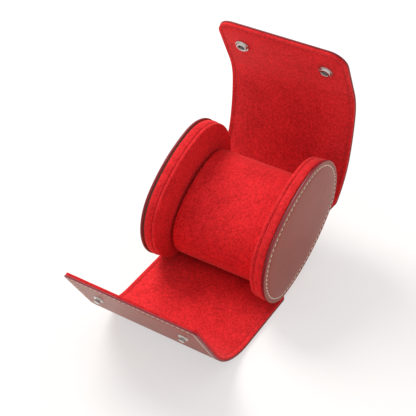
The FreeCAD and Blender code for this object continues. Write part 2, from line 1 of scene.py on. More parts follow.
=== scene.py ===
import math
import bmesh
import bpy
from mathutils import Matrix, Vector, kdtree


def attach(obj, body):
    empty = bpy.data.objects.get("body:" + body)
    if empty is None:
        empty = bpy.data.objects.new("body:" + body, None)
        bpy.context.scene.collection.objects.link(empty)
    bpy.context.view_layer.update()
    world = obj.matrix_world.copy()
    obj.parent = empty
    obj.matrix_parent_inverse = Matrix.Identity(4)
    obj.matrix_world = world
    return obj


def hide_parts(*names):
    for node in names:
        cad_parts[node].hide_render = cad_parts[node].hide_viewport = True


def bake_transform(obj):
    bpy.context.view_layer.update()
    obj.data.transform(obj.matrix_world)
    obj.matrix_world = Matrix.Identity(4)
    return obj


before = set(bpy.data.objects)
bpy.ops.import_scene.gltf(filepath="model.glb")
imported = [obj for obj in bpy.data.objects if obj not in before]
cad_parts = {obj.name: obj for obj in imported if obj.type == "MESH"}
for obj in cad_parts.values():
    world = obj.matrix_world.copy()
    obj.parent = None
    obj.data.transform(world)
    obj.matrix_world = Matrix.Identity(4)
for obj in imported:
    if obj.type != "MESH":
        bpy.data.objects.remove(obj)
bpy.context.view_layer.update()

# Table, lamp and camera
# A plain white table under one broad soft lamp, high on the left, with pale light from all round.
# The camera looks down on the open case from its front right.


class Wire:
    """One output of a shader node. Sums and products of wires and numbers add Math nodes."""

    def __init__(self, tree, socket=None):
        self.tree = tree
        self.socket = socket

    def node(self, kind, settings, inputs, output=0):
        made = self.tree.nodes.new(kind)
        for name, value in settings.items():
            setattr(made, name, value)
        for name, value in inputs.items():
            if isinstance(value, Wire):
                self.tree.links.new(value.socket, made.inputs[name])
            else:
                made.inputs[name].default_value = value
        return Wire(self.tree, made.outputs[output] if made.outputs else None)

    def maths(self, operation, first, second):
        return self.node("ShaderNodeMath", {"operation": operation}, {0: first, 1: second})

    def __add__(self, other):
        return self.maths("ADD", self, other)

    def __sub__(self, other):
        return self.maths("SUBTRACT", self, other)

    def __rsub__(self, other):
        return self.maths("SUBTRACT", other, self)

    def __mul__(self, other):
        return self.maths("MULTIPLY", self, other)

    __radd__ = __add__
    __rmul__ = __mul__


def shown_white(tree, share):
    """Share of plain white that the camera, and what mirrors or lets light through, sees."""
    start = Wire(tree)
    rays = ("Is Camera Ray", "Is Glossy Ray", "Is Transmission Ray")
    seen = [start.node("ShaderNodeLightPath", {}, {}, ray) for ray in rays]
    return start.maths("MINIMUM", seen[0] + seen[1] + seen[2], 1.0) * share


MM = 0.001
TABLE_SIZE = 8.0
TABLE_DROP = 0.2 * MM
TABLE_COLOUR = (0.94, 0.915, 0.90, 1)
TABLE_WHITE_SHARE = 0.55
WHITE = (1, 1, 1, 1)
bpy.ops.object.select_all(action="DESELECT")
bpy.ops.mesh.primitive_plane_add(size=TABLE_SIZE, location=(0, 0, -TABLE_DROP))
table = bpy.context.object
table.name = "table_top"
bpy.ops.object.transform_apply(location=True)
table_finish = bpy.data.materials.new("table_top")
table_finish.use_nodes = True
tree = table_finish.node_tree
tree.nodes.clear()
start = Wire(tree)
matt = start.node("ShaderNodeBsdfDiffuse", {}, {"Color": TABLE_COLOUR})
white = start.node("ShaderNodeEmission", {}, {"Color": WHITE, "Strength": 1.0})
mixed = start.node("ShaderNodeMixShader", {}, {0: shown_white(tree, TABLE_WHITE_SHARE), 1: matt, 2: white})
start.node("ShaderNodeOutputMaterial", {}, {"Surface": mixed})
table.data.materials.append(table_finish)

SKY_LEVEL = 0.66
SKY_COLOUR = (1, 0.985, 0.965, 1)
world = bpy.data.worlds.new("studio")
world.use_nodes = True
bpy.context.scene.world = world
tree = world.node_tree
tree.nodes.clear()
start = Wire(tree)
sky = start.node("ShaderNodeBackground", {}, {"Color": SKY_COLOUR, "Strength": SKY_LEVEL})
wall = start.node("ShaderNodeBackground", {}, {"Color": WHITE, "Strength": 1.0})
mixed = start.node("ShaderNodeMixShader", {}, {0: shown_white(tree, 1.0), 1: sky, 2: wall})
start.node("ShaderNodeOutputWorld", {}, {"Surface": mixed})

LAMP_PLACE = Vector((-0.95, 0.35, 1.15))
LAMP_AIM = Vector((0, 0, 0.05))
LAMP_POWER = 19.5
LAMP_SIZE = 0.75
LAMP_COLOUR = (1, 0.985, 0.96)
bpy.ops.object.light_add(type="AREA", location=LAMP_PLACE)
lamp = bpy.context.object
lamp.name = "soft_lamp"
lamp.data.energy = LAMP_POWER
lamp.data.size = LAMP_SIZE
lamp.data.color = LAMP_COLOUR
lamp.rotation_euler = (LAMP_AIM - LAMP_PLACE).to_track_quat("-Z", "Y").to_euler()

CAMERA_PLACE = (0.2472, -0.4239, 0.4453)
CAMERA_TURN = (math.radians(51.07), 0, math.radians(31.83))
CAMERA_LENS = 90.87
CAMERA_SENSOR = 36
bpy.ops.object.camera_add(location=CAMERA_PLACE, rotation=CAMERA_TURN)
camera = bpy.context.object
camera.data.lens = CAMERA_LENS
camera.data.sensor_width = CAMERA_SENSOR
bpy.context.scene.camera = camera
bpy.context.scene.view_settings.view_transform = "Standard"

# Outer leather
# One strip of brown hide, 86 mm wide and 1 mm thick, that wraps round the two end walls.
# Its cut edges are painted burgundy, and cream thread is sewn about 2.5 mm inside them.

STRIP_HALF = 43.0
WAIST_HALF = 39.0
LINING_THICK = 1.6
LEATHER_THICK = 1.0
STRIP_THICK = LINING_THICK + LEATHER_THICK
FRONT_RISE = 41.5
FRONT_RADIUS = 39.0
FRONT_TURN = math.radians(60.5)
FLAT_FRONT = 50.4
BACK_TIP_RUN = 38.5
# The strip's course from its front end: the length of each run, and the angle through which it bends
STRIP_RUNS = (
    (FRONT_RISE, 0),
    (FRONT_RADIUS * FRONT_TURN, FRONT_TURN),
    (67.53, 0),
    (10.0 * math.radians(38), math.radians(38)),
    (37.73, 0),
    (48.0 * math.radians(42), math.radians(42)),
    (150.0 * math.radians(11.5), math.radians(11.5)),
    (42.0 * math.radians(25.5), math.radians(25.5)),
    (BACK_TIP_RUN, 0),
)
STRIP_LENGTH = sum(length for length, bend in STRIP_RUNS)
FLAT_START = Vector((-FLAT_FRONT, STRIP_THICK))
FRONT_END = FLAT_START + Vector(
    (
        -FRONT_RADIUS * math.sin(FRONT_TURN) - FRONT_RISE * math.cos(FRONT_TURN),
        FRONT_RADIUS * (1 - math.cos(FRONT_TURN)) + FRONT_RISE * math.sin(FRONT_TURN),
    )
)
# Bending lines as distances along the strip from its front end, each with the bodies it joins
FLAT_ZERO = STRIP_RUNS[0][0] + STRIP_RUNS[1][0] + FLAT_FRONT
BACK_LOW = sum(length for length, bend in STRIP_RUNS[:5])
BACK_MID = BACK_LOW + STRIP_RUNS[5][0]
BACK_TIP = STRIP_LENGTH - BACK_TIP_RUN
BENDS = (
    ("front_5", 29.5, "front_4", "front_tip"),
    ("front_4", FLAT_ZERO - 59.4, "front_3", "front_4"),
    ("front_3", FLAT_ZERO - 42.9, "front_2", "front_3"),
    ("front_2", FLAT_ZERO - 26.4, "front_1", "front_2"),
    ("front_1", FLAT_ZERO - 9.9, "case_body", "front_1"),
    ("back_1", BACK_LOW - 2.9, "case_body", "back_1"),
    ("back_2", BACK_MID, "back_1", "back_2"),
    ("back_3", BACK_MID + 16.8, "back_2", "back_3"),
    ("back_4", BACK_TIP, "back_3", "back_tip"),
)
BEND_REACH = 7.2
TIP_ROW = 14.0
ROW_PITCH = 1.5
FRONT_CORNER = 3.0
BACK_CORNER = 11.0
CORNER_STEPS = 8
EDGE_ANGLE = math.radians(55)
SMOOTH_ANGLE = math.radians(40)
SAME_PLACE = 0.01
WAIST_FRONT_GAP = 3.0
WAIST_FRONT_EASE = 6.0
WAIST_BACK_EASE = 9.0
BASE_SPLIT = 5.0
MARKS_PER_MM = 4


def walk(s):
    """Place and heading on the strip's inner face, s mm from its front end."""
    point, angle = FRONT_END.copy(), -FRONT_TURN
    for length, bend in STRIP_RUNS:
        step = min(s, length)
        if bend:
            radius, after = length / bend, angle + bend * step / length
            point += radius * Vector((math.sin(after) - math.sin(angle), math.cos(angle) - math.cos(after)))
            angle = after
        else:
            point += step * Vector((math.cos(angle), math.sin(angle)))
        s -= step
        if s <= 0:
            break
    return point, angle


def spot(s, x, depth):
    """Point in the frame, s mm along the strip, x mm across it and depth mm below its inner face."""
    point, angle = walk(s)
    return Vector((x, point.x + depth * math.sin(angle), point.y - depth * math.cos(angle))) * MM


def half_width(s):
    """Half the strip's width: it narrows where the end walls stand on it."""
    into = (s - BENDS[4][1] - WAIST_FRONT_GAP) / WAIST_FRONT_EASE
    out_of = (BENDS[5][1] + WAIST_BACK_EASE - s) / WAIST_BACK_EASE
    inward = min(max(into, 0), 1) * min(max(out_of, 0), 1)
    return STRIP_HALF - (STRIP_HALF - WAIST_HALF) * inward


SPLITS = [0.0] + [(a[1] + b[1]) / 2 for a, b in zip(BENDS, BENDS[1:])] + [STRIP_LENGTH]
SPLITS[5] = FLAT_ZERO + BASE_SPLIT
MARK_COUNT = int(STRIP_LENGTH * MARKS_PER_MM) + 1
MARKS = kdtree.KDTree(MARK_COUNT)
for number in range(MARK_COUNT):
    MARKS.insert(spot(number / MARKS_PER_MM, 0, 0), number)
MARKS.balance()


def along(place):
    """Distance along the strip of a place on it."""
    return MARKS.find(Vector((0, place.y, place.z)))[1] / MARKS_PER_MM


def pick(kind, test):
    """Selects the vertices, edges or faces of the mesh in edit mode that pass a test."""
    bpy.ops.mesh.select_mode(type=kind)
    bpy.ops.mesh.select_all(action="DESELECT")
    mesh = bpy.context.object.data
    bm = bmesh.from_edit_mesh(mesh)
    for item in {"VERT": bm.verts, "EDGE": bm.edges, "FACE": bm.faces}[kind]:
        if test(item):
            item.select_set(True)
    bm.select_flush_mode()
    bmesh.update_edit_mesh(mesh)


def first_point(name, place):
    """New piece in edit mode that is one selected point."""
    bpy.ops.object.select_all(action="DESELECT")
    bpy.ops.mesh.primitive_plane_add(size=MM, location=place)
    bpy.context.object.name = name
    bpy.ops.object.transform_apply(location=True)
    bpy.ops.object.mode_set(mode="EDIT")
    bpy.ops.mesh.select_mode(type="VERT")
    bpy.ops.mesh.select_all(action="SELECT")
    bpy.ops.mesh.merge(type="CENTER")
    return bpy.context.object


def draw(step):
    """Pulls the selected points, edges or faces out by a step."""
    bpy.ops.mesh.extrude_region_move(TRANSFORM_OT_translate={"value": step})


def finish_with(piece, kind, settings):
    """Adds a modifier with its settings and applies it."""
    bpy.context.view_layer.objects.active = piece
    modifier = piece.modifiers.new(kind.lower(), kind)
    for name, value in settings.items():
        setattr(modifier, name, value)
    bpy.ops.object.modifier_apply(modifier=modifier.name)


def lay_skin(name, depth, margin, up):
    """One layer of the strip as an open sheet with rounded free corners, in edit mode.
    It lies at a depth below the inner face, margin inside the strip's edges, and faces in or out."""
    rows = [margin, TIP_ROW]
    for low, high in zip([TIP_ROW] + SPLITS[1:-1], SPLITS[1:-1] + [STRIP_LENGTH - TIP_ROW]):
        count = math.ceil((high - low) / ROW_PITCH)
        rows += [low + (high - low) * (i + 1) / count for i in range(count)]
    rows.append(STRIP_LENGTH - margin)
    skin = first_point(name, spot(margin, margin - half_width(0), depth))
    draw((2 * (half_width(0) - margin) * MM, 0, 0))
    pick("EDGE", lambda edge: True)
    for low, high in zip(rows, rows[1:]):
        draw(spot(high, 0, depth) - spot(low, 0, depth))
        narrower = (half_width(high) - margin) / (half_width(low) - margin)
        bpy.ops.transform.resize(value=(narrower, 1, 1))
    for end, corner in ((margin, FRONT_CORNER), (STRIP_LENGTH - margin, BACK_CORNER)):
        edge_place = spot(end, 0, depth)
        pick("VERT", lambda v: (Vector((0, v.co.y, v.co.z)) - edge_place).length < SAME_PLACE * MM)
        bpy.ops.mesh.bevel(offset=(corner - margin) * MM, segments=CORNER_STEPS, affect="VERTICES")
    pick("FACE", lambda face: True)
    bpy.ops.mesh.normals_make_consistent(inside=False)
    bm = bmesh.from_edit_mesh(skin.data)
    bm.faces.ensure_lookup_table()
    face = bm.faces[0]
    inward = walk(along(face.calc_center_median()))[1]
    if face.normal.dot(Vector((0, -math.sin(inward), math.cos(inward)))) * up < 0:
        bpy.ops.mesh.flip_normals()
    return skin


def sink_seam(inset, width, sink):
    """Groove round the selected sheet, inset from its edges, where the thread is pulled in."""
    bpy.ops.mesh.inset(thickness=inset * MM, depth=0, use_boundary=True)
    bpy.ops.mesh.inset(thickness=width * MM, depth=-sink * MM, use_boundary=True)
    bpy.ops.mesh.inset(thickness=width * MM, depth=sink * MM, use_boundary=True)


def thicken_skin(skin, thick, edge_round, segments, rim=0):
    """Gives an open sheet its thickness, behind the face it shows, and rounds its edges."""
    wall = {"thickness": thick * MM, "offset": -1, "use_even_offset": True, "material_offset_rim": rim}
    finish_with(skin, "SOLIDIFY", wall)
    rounding = {
        "width": edge_round * MM,
        "segments": segments,
        "limit_method": "ANGLE",
        "angle_limit": EDGE_ANGLE,
    }
    finish_with(skin, "BEVEL", rounding)


def part_at_bends(whole, layer):
    """Cuts a layer of the strip midway between its bending lines, so that each cut piece holds one bending
    line.
    """
    bpy.ops.object.mode_set(mode="OBJECT")
    cut = []
    for (bend, line, near, far), low, high in zip(BENDS, SPLITS, SPLITS[1:]):
        bpy.ops.object.select_all(action="DESELECT")
        piece = whole.copy()
        piece.data = whole.data.copy()
        piece.name = f"{bend}_{layer}"
        bpy.context.collection.objects.link(piece)
        bpy.context.view_layer.objects.active = piece
        piece.select_set(True)
        bpy.ops.object.mode_set(mode="EDIT")
        pick("FACE", lambda face: not low <= along(face.calc_center_median()) <= high)
        bpy.ops.mesh.delete(type="FACE")
        bpy.ops.mesh.select_all(action="SELECT")
        bpy.ops.mesh.fill_holes(sides=0)
        bpy.ops.object.mode_set(mode="OBJECT")
        bpy.ops.object.shade_smooth_by_angle(angle=SMOOTH_ANGLE)
        cut.append(piece)
    bpy.data.objects.remove(whole)
    return cut


def bend_with_strip(pieces):
    """Bakes each cut piece's place into its mesh. The reach either side of its bending line is worked out,
    but nothing uses it.
    """
    for piece, (bend, line, near, far) in zip(pieces, BENDS):
        point, angle = walk(line)
        way = -1 if bend.startswith("front") else 1
        reach = Vector((0, math.cos(angle), math.sin(angle))) * way * BEND_REACH * MM
        spot(line, 0, 0) - reach
        spot(line, 0, 0) + reach
        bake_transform(piece)


def new_finish(name, constants):
    """Material with its even values set on the shader. Gives the shader and the object's place too."""
    finish = bpy.data.materials.new(name)
    finish.use_nodes = True
    shader = finish.node_tree.nodes["Principled BSDF"]
    for socket, value in constants.items():
        shader.inputs[socket].default_value = value
    place = Wire(finish.node_tree).node("ShaderNodeTexCoord", {}, {}, "Object")
    return finish, shader, place


def feed(shader, socket, wire):
    """Links a wire to one of the shader's sockets."""
    wire.tree.links.new(wire.socket, shader.inputs[socket])


def speckle(place, scale, detail=2.0, distortion=0.0):
    """Noise about zero at a scale given as spots per metre."""
    inputs = {"Vector": place, "Scale": scale, "Detail": detail, "Distortion": distortion}
    return place.node("ShaderNodeTexNoise", {}, inputs) - 0.5


def between(share, low, high):
    """Colour between two, by a share."""
    return share.node("ShaderNodeMix", {"data_type": "RGBA"}, {0: share, 6: low, 7: high}, 2)


def relief(height, strength, distance):
    """Fine relief in the surface, from a wire that gives its height."""
    return height.node("ShaderNodeBump", {}, {"Height": height, "Strength": strength, "Distance": distance})


GRAIN_DEPTH = 0.15
HIDE_TONES = ((0.255, 0.048, 0.029, 1), (0.345, 0.070, 0.045, 1))
leather, shader, place = new_finish(
    "brown_leather",
    {
        "IOR": 1.48,
        "Specular IOR Level": 0.22,
        "Sheen Weight": 0.3,
        "Sheen Roughness": 0.22,
        "Sheen Tint": (1, 0.9, 0.8, 1),
    },
)
pebbles = place.node("ShaderNodeTexVoronoi", {"feature": "SMOOTH_F1"}, {"Vector": place, "Scale": 950.0})
grain = pebbles * 0.6 + speckle(place, 420.0, 3.0) * 0.5
tone = 0.5 + speckle(place, 60.0, 3.0) * 0.9 + speckle(place, 700.0) * 0.5
feed(shader, "Base Color", between(tone, *HIDE_TONES))
feed(shader, "Roughness", 0.40 + speckle(place, 130.0) * 0.1)
feed(shader, "Normal", relief(grain, 0.16, GRAIN_DEPTH * MM))

PAINT_TONES = ((0.17, 0.010, 0.022, 1), (0.30, 0.017, 0.036, 1))
edge_paint, shader, place = new_finish("burgundy_edge_paint", {"Specular IOR Level": 0.3})
tone = 0.5 + speckle(place, 300.0)
feed(shader, "Base Color", between(tone, *PAINT_TONES))
feed(shader, "Roughness", 0.42 + speckle(place, 500.0) * 0.2)

LEATHER_MARGIN = 0.0
LEATHER_SEAM = 2.1
LEATHER_GROOVE = 0.35
LEATHER_SINK = 0.12
LEATHER_ROUND = 0.28
skin = lay_skin("strip_leather", STRIP_THICK, LEATHER_MARGIN, -1)
pick("FACE", lambda face: True)
sink_seam(LEATHER_SEAM, LEATHER_GROOVE, LEATHER_SINK)
bpy.ops.object.mode_set(mode="OBJECT")
skin.data.materials.append(leather)
skin.data.materials.append(edge_paint)
thicken_skin(skin, LEATHER_THICK, LEATHER_ROUND, 2, rim=1)
leather_pieces = part_at_bends(skin, "hide")
LEATHER_NODES = (
    ("front_tip_leather",),
    ("front_4_leather",),
    ("front_3_leather",),
    ("front_2_leather",),
    ("front_1_leather",),
    ("base_leather", "back_1_leather"),
    ("back_2_leather",),
    ("back_3_leather",),
    ("back_tip_leather",),
)
for piece, nodes in zip(leather_pieces, LEATHER_NODES):
    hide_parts(*nodes)
bend_with_strip(leather_pieces)

# Suede lining
# Red suede over a thin pad, glued into the strip and turned over a hem at its edges.
# The sewing shows on it as a row of red thread in a shallow groove.

NAP_DEPTH = 0.25
SUEDE_TONES = ((0.49, 0.009, 0.012, 1), (0.88, 0.027, 0.033, 1))
suede, shader, place = new_finish(
    "red_suede",
    {
        "Sheen Weight": 0.25,
        "Sheen Roughness": 0.45,
        "Sheen Tint": (1, 0.30, 0.30, 1),
        "Specular IOR Level": 0.15,
    },
)
brushed = speckle(place, 75.0, 3.0, 0.8) * 0.8 + speckle(place, 26.0, 2.0, 0.5) * 0.5
nap = speckle(place, 1250.0, 2.0) * 1.4 + speckle(place, 620.0, 2.0) * 1.3
tone = 0.5 + brushed + nap * 1.1
feed(shader, "Base Color", between(tone, *SUEDE_TONES))
feed(shader, "Roughness", 0.9 + nap * 0.15)
feed(shader, "Normal", relief(nap + speckle(place, 420.0) * 0.6, 0.42, NAP_DEPTH * MM))

SUEDE_THICK = 1.05
SUEDE_MARGIN = 0.3
LINING_SEAM = 2.0
LINING_GROOVE = 0.4
LINING_SINK = 0.2
SUEDE_ROUND = 0.42
HEM_ROUND = 0.2
HEM_LAP = 0.02
HEM_SET_BACK = 0.05
skin = lay_skin("strip_suede", 0.0, SUEDE_MARGIN, 1)
pick("FACE", lambda face: True)
sink_seam(LINING_SEAM, LINING_GROOVE, LINING_SINK)
bpy.ops.object.mode_set(mode="OBJECT")
thicken_skin(skin, SUEDE_THICK, SUEDE_ROUND, 3)
hem = lay_skin("strip_hem", SUEDE_THICK - HEM_LAP, SUEDE_MARGIN + HEM_SET_BACK, 1)
bpy.ops.object.mode_set(mode="OBJECT")
thicken_skin(hem, LINING_THICK - SUEDE_THICK, HEM_ROUND, 2)
bpy.ops.object.select_all(action="DESELECT")
hem.select_set(True)
skin.select_set(True)
bpy.context.view_layer.objects.active = skin
bpy.ops.object.join()
skin.data.materials.append(suede)
lining_pieces = part_at_bends(skin, "suede")
for piece, nodes in zip(lining_pieces, LEATHER_NODES):
    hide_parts(*[node.replace("leather", "lining") for node in nodes])
bend_with_strip(lining_pieces)

# Sewing of the strip
# Waxed thread in short stitches, cream on the leather and red on the suede.
# Each stitch dips into the hide at both ends, in a row that follows the strip's edges.

CREAM_TONES = ((0.66, 0.54, 0.43, 1), (0.90, 0.81, 0.70, 1))
cream_thread, shader, place = new_finish("cream_thread", {"Specular IOR Level": 0.3})
tone = 0.5 + speckle(place, 2600.0)
feed(shader, "Base Color", between(tone, *CREAM_TONES))
feed(shader, "Roughness", 0.62 + speckle(place, 900.0) * 0.2)
RED_TONES = ((0.34, 0.007, 0.010, 1), (0.56, 0.016, 0.020, 1))
red_thread, shader, place = new_finish("red_thread", {"Specular IOR Level": 0.3})
tone = 0.5 + speckle(place, 2600.0)
feed(shader, "Base Color", between(tone, *RED_TONES))
feed(shader, "Roughness", 0.6 + speckle(place, 900.0) * 0.2)

STITCH_PITCH = 3.1
CREAM_INSET = 2.45
CREAM_DEPTH = STRIP_THICK - 0.2
RED_INSET = 2.7
RED_DEPTH = 0.12
ROW_FRONT_GAP = 1.0
ROW_BACK_GAP = 9.5
STITCH_LONG = 2.35
STITCH_RADIUS = 0.36
STITCH_BENDS = (-0.34, 0.0, 0.34)
STITCH_END = 0.45
STITCH_THIN = 0.5
STITCH_DIP = 0.9


def one_stitch(name, long, radius):
    """A stitch along X at the origin, its ends drawn thin and down into the hide."""
    bpy.ops.object.select_all(action="DESELECT")
    along_x = (0, math.pi / 2, 0)
    bpy.ops.mesh.primitive_cylinder_add(vertices=8, radius=radius * MM, depth=long * MM, rotation=along_x)
    made = bpy.context.object
    made.name = name
    bpy.ops.object.transform_apply(rotation=True)
    bpy.ops.object.mode_set(mode="EDIT")
    for share in STITCH_BENDS:
        bpy.ops.mesh.select_all(action="SELECT")
        bpy.ops.mesh.bisect(plane_co=(share * long * MM, 0, 0), plane_no=(1, 0, 0))
    for side in (-1, 1):
        pick("VERT", lambda v: v.co.x * side > STITCH_END * long * MM)
        thinner = (1, STITCH_THIN, STITCH_THIN)
        bpy.ops.transform.resize(value=thinner, center_override=(side * long / 2 * MM, 0, 0))
        bpy.ops.transform.translate(value=(0, 0, -STITCH_DIP * radius * MM))
    bpy.ops.object.mode_set(mode="OBJECT")
    bpy.ops.object.shade_smooth()
    return made


def spaced(points, pitch):
    """Places at an even pitch along a line of points, each with the way the line runs there.
    The pitch gives a little, so that a whole number of stitches fits the line."""
    length = sum((Vector(last) - Vector(first)).length for first, last in zip(points, points[1:]))
    pitch = length / round(length / pitch)
    places, reach = [], pitch / 2
    for first, last in zip(points, points[1:]):
        span = Vector(last) - Vector(first)
        while reach <= span.length:
            places.append((Vector(first) + span.normalized() * reach, span.normalized()))
            reach += pitch
        reach -= span.length
    return places


def sew(name, stitch, places, thread):
    """Copies of a stitch, each at a place with its run and its outward way, joined as one row."""
    bpy.ops.object.select_all(action="DESELECT")
    for place, run, out in places:
        copy = stitch.copy()
        copy.data = stitch.data.copy()
        across = out.cross(run).normalized()
        turn = Matrix((across.cross(out), across, out)).transposed().to_4x4()
        copy.data.transform(Matrix.Translation(place) @ turn)
        bpy.context.collection.objects.link(copy)
        copy.select_set(True)
        bpy.context.view_layer.objects.active = copy
    bpy.ops.object.join()
    row = bpy.context.object
    row.name = name
    row.data.materials.append(thread)
    return row


def sew_strip(layer, stitch, inset, depth, thread):
    """Rows of stitches round the strip's front and back ends, cut where the strip's pieces meet."""
    side, arc = STRIP_HALF - inset, BACK_CORNER - inset
    turns = [math.radians(turn) for turn in range(0, 91, 10)]
    bend_from = STRIP_LENGTH - BACK_CORNER
    corner = [(bend_from + arc * math.sin(turn), side - arc + arc * math.cos(turn)) for turn in turns]
    front, back = BENDS[4][1] - ROW_FRONT_GAP, BENDS[5][1] + ROW_BACK_GAP
    rows = [[(front, side), (inset, side), (inset, -side), (front, -side)]]
    rows.append([(back, side)] + corner + [(s, -x) for s, x in reversed(corner)] + [(back, -side)])
    groups = [[] for bend in BENDS]
    for row in rows:
        for (s, x), run in spaced(row, STITCH_PITCH):
            angle = walk(s)[1]
            out = Vector((0, math.sin(angle), -math.cos(angle))) * (1 if depth > LINING_THICK else -1)
            heading = Vector((run.y, run.x * math.cos(angle), run.x * math.sin(angle)))
            group = max(number for number, low in enumerate(SPLITS[:-1]) if low <= s)
            groups[group].append((spot(s, x, depth), heading, out))
    names = [f"{bend[0]}_{layer}" for bend in BENDS]
    bend_with_strip([sew(name, stitch, places, thread) for name, places in zip(names, groups)])


stitch = one_stitch("strip_stitch", STITCH_LONG, STITCH_RADIUS)
sew_strip("cream_row", stitch, CREAM_INSET, CREAM_DEPTH, cream_thread)
sew_strip("red_row", stitch, RED_INSET, RED_DEPTH, red_thread)

# End panels
# An oval of the same brown leather closes each end, cut back along its foot above the strip.
# Its edge is painted burgundy, and cream thread is sewn 3 mm inside it.

WALL_CENTRE = Vector((11.0, 41.547))
WALL_OVAL = (93.6, 69.4, 32.7)
OVAL_TILT = math.radians(26.3)
PANEL_X = (41.6, 43.0)
PANEL_TRIM = 2.2
ARC_STEP = 1.4
OVAL_MERGE = 0.05
NEAR = 0.02
RIM_ANGLE = 0.5
FACES_ACROSS = 0.9
PANEL_SEAM = 2.65
PANEL_GROOVE = 0.35
PANEL_SINK = 0.14
PANEL_PUFFS = ((0.88, 0.2), (0.80, 0.12), (0.70, 0.06))
PANEL_ROUND = 0.4
PANEL_BACK_ROUND = 0.3


def oval_arcs(centre, sizes, inset=0.0, trim=0.0):
    """Four arcs of a tilted oval, clockwise seen from the right: each one's middle, start and turn."""
    a, b, end = sizes[0] / 2, sizes[1] / 2, sizes[2]
    side = (a * a + b * b - 2 * a * end) / (2 * (b - end))
    off_end, off_side = a - end, side - b
    span = math.hypot(off_end, off_side)
    end, upper, lower = end - inset, side - inset, side - inset - trim

    def meet(radius):
        cosine = min(1.0, (span * span + radius * radius - end * end) / (2 * span * radius))
        return math.atan2(off_end, off_side) + math.acos(cosine)

    top, low = meet(upper), meet(lower)
    corners = [Vector((-upper * math.sin(top), upper * math.cos(top) - off_side))]
    corners.append(Vector((-corners[0].x, corners[0].y)))
    corners.append(Vector((lower * math.sin(low), off_side - lower * math.cos(low))))
    corners.append(Vector((-corners[2].x, corners[2].y)))
    middles = [Vector((0, -off_side)), Vector((off_end, 0)), Vector((0, off_side)), Vector((-off_end, 0))]
    lean = Matrix.Rotation(OVAL_TILT, 2)
    arcs = []
    for middle, first, last in zip(middles, corners, corners[1:] + corners[:1]):
        turn = (first - middle).angle_signed(last - middle) % math.tau
        arcs.append((centre + lean @ middle, centre + lean @ first, turn))
    return arcs


def draw_oval(name, x, arcs):
    """New piece in edit mode: a flat oval face at x, its outline spun arc by arc."""
    start = arcs[0][1]
    piece = first_point(name, Vector((x, start.x, start.y)) * MM)
    for middle, first, turn in arcs:
        steps = math.ceil((first - middle).length * turn / ARC_STEP)
        centre = Vector((x, middle.x, middle.y)) * MM
        bpy.ops.mesh.spin(steps=steps, angle=turn, center=centre, axis=(1, 0, 0))
    bpy.ops.mesh.select_all(action="SELECT")
    bpy.ops.mesh.remove_doubles(threshold=OVAL_MERGE * MM)
    bpy.ops.mesh.edge_face_add()
    return piece


def thicken_oval(x_from, x_to):
    """Makes the flat oval a solid between two places across the case."""
    draw(((x_to - x_from) * MM, 0, 0))
    bpy.ops.mesh.select_all(action="SELECT")
    bpy.ops.mesh.normals_make_consistent(inside=False)


def round_rim(x, size, segments):
    """Rounds the outline edges that lie at x."""

    def on_rim(edge):
        level = all(abs(v.co.x - x * MM) < NEAR * MM for v in edge.verts)
        return level and len(edge.link_faces) == 2 and edge.calc_face_angle() > RIM_ANGLE

    pick("EDGE", on_rim)
    bpy.ops.mesh.bevel(offset=size * MM, segments=segments, affect="EDGES")


def face_at(x):
    """Selects the faces across the case that lie at x."""

    def lies_there(face):
        level = abs(face.calc_center_median().x - x * MM) < NEAR * MM
        return level and abs(face.normal.x) > FACES_ACROSS

    pick("FACE", lies_there)


def puff(share, rise):
    """Draws the selected oval face out a little and in to a share of its size, for a padded middle."""
    draw((rise * MM, 0, 0))
    bpy.ops.transform.resize(
        value=(1, share, share), center_override=Vector((0, WALL_CENTRE.x, WALL_CENTRE.y)) * MM
    )


def other_side(piece, name):
    """Mirrored copy for the left end."""
    copy = piece.copy()
    copy.data = piece.data.copy()
    copy.name = name
    bpy.context.collection.objects.link(copy)
    bpy.ops.object.select_all(action="DESELECT")
    copy.select_set(True)
    bpy.context.view_layer.objects.active = copy
    bpy.ops.object.mode_set(mode="EDIT")
    bpy.ops.mesh.select_all(action="SELECT")
    bpy.ops.transform.resize(value=(-1, 1, 1), center_override=(0, 0, 0))
    bpy.ops.mesh.normals_make_consistent(inside=False)
    bpy.ops.object.mode_set(mode="OBJECT")
    return copy


def both_ends(piece, kind, slot, *nodes):
    """Finishes a right-hand end piece, adds its left-hand twin and fixes both to the case."""
    bpy.ops.object.mode_set(mode="OBJECT")
    bpy.ops.object.shade_smooth_by_angle(angle=SMOOTH_ANGLE)
    pair = (piece, other_side(piece, f"left_{kind}"))
    for side, each in zip(("right", "left"), pair):
        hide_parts(*[f"{side}_{node}" for node in nodes])
        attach(each, "case_body")
    return pair


panel = draw_oval("right_end_panel", PANEL_X[0], oval_arcs(WALL_CENTRE, WALL_OVAL, trim=PANEL_TRIM))
thicken_oval(*PANEL_X)
panel.data.materials.append(leather)
panel.data.materials.append(edge_paint)
face_at(PANEL_X[1])
sink_seam(PANEL_SEAM, PANEL_GROOVE, PANEL_SINK)
for share, rise in PANEL_PUFFS:
    puff(share, rise)
pick("FACE", lambda face: abs(face.normal.x) < 0.5)
bpy.context.object.active_material_index = 1
bpy.ops.object.material_slot_assign()
round_rim(PANEL_X[1], PANEL_ROUND, 3)
round_rim(PANEL_X[0], PANEL_BACK_ROUND, 2)
both_ends(panel, "end_panel", "leather", "end_leather")

PANEL_STITCH_INSET = 3.0
PANEL_STITCH_PITCH = 3.2
PANEL_STITCH_SLANT = math.radians(12)
PANEL_STITCH_SINK = 0.06


def oval_line(arcs):
    """Points round an oval and back to its start."""
    line = []
    for middle, first, turn in arcs:
        steps = math.ceil((first - middle).length * turn / ARC_STEP)
        turns = [Matrix.Rotation(-turn * step / steps, 2) for step in range(steps)]
        line += [middle + each @ (first - middle) for each in turns]
    return line + line[:1]


